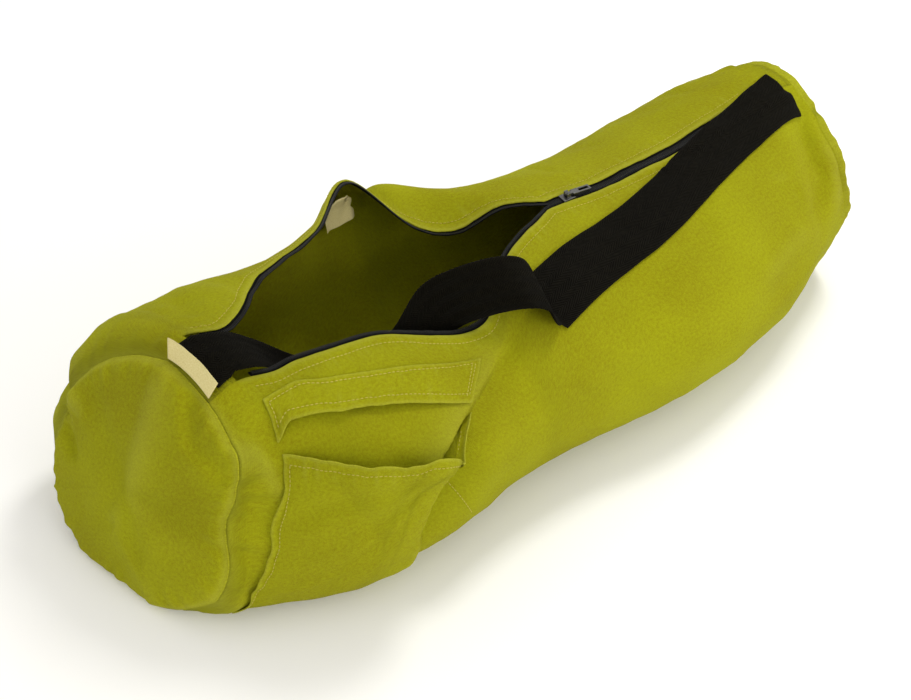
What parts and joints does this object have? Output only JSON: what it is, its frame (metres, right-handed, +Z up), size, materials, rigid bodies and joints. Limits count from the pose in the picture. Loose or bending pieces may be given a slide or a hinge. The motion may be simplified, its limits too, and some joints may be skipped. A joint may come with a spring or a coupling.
{
  "type": "yoga mat bag",
  "caption": "Long hollow canvas bag for a rolled mat, with a zip mouth along its top, a slit patch pocket and a webbing carrying strap.",
  "frame": {"origin": "on the floor, below the middle of the line between the two end seams", "axes": "+X from the near end to the far end, -Y to the pocket's side, +Z up"},
  "size_m": [0.8374, 0.3449, 0.2217],
  "materials": {
    "canvas": "matte woven cotton canvas",
    "webbing": "ribbed cotton webbing",
    "zip_nylon": "woven nylon tape and coil",
    "label_cloth": "smooth woven label",
    "zip_metal": "worn dark paint"
  },
  "bodies": {
    "bag": {"body_panel": "canvas", "near_end_panel": "canvas", "far_end_panel": "canvas", "pocket_band": "canvas", "pocket_front": "canvas", "zip_tape_front": "zip_nylon", "zip_tape_back": "zip_nylon", "strap": "webbing", "seam_label": "label_cloth", "care_label": "label_cloth", "zip_slider": "zip_metal"},
    "pull": {"zip_pull": "zip_metal"}
  },
  "joints": [
    {"name": "pull_swing", "type": "hinge", "parent": "bag", "child": "pull", "pos_m": [0.07777, 0.02729, 0.18839], "axis": [-0.1004, -0.9944, 0.0329], "range_deg": [0, 150]}
  ]
}
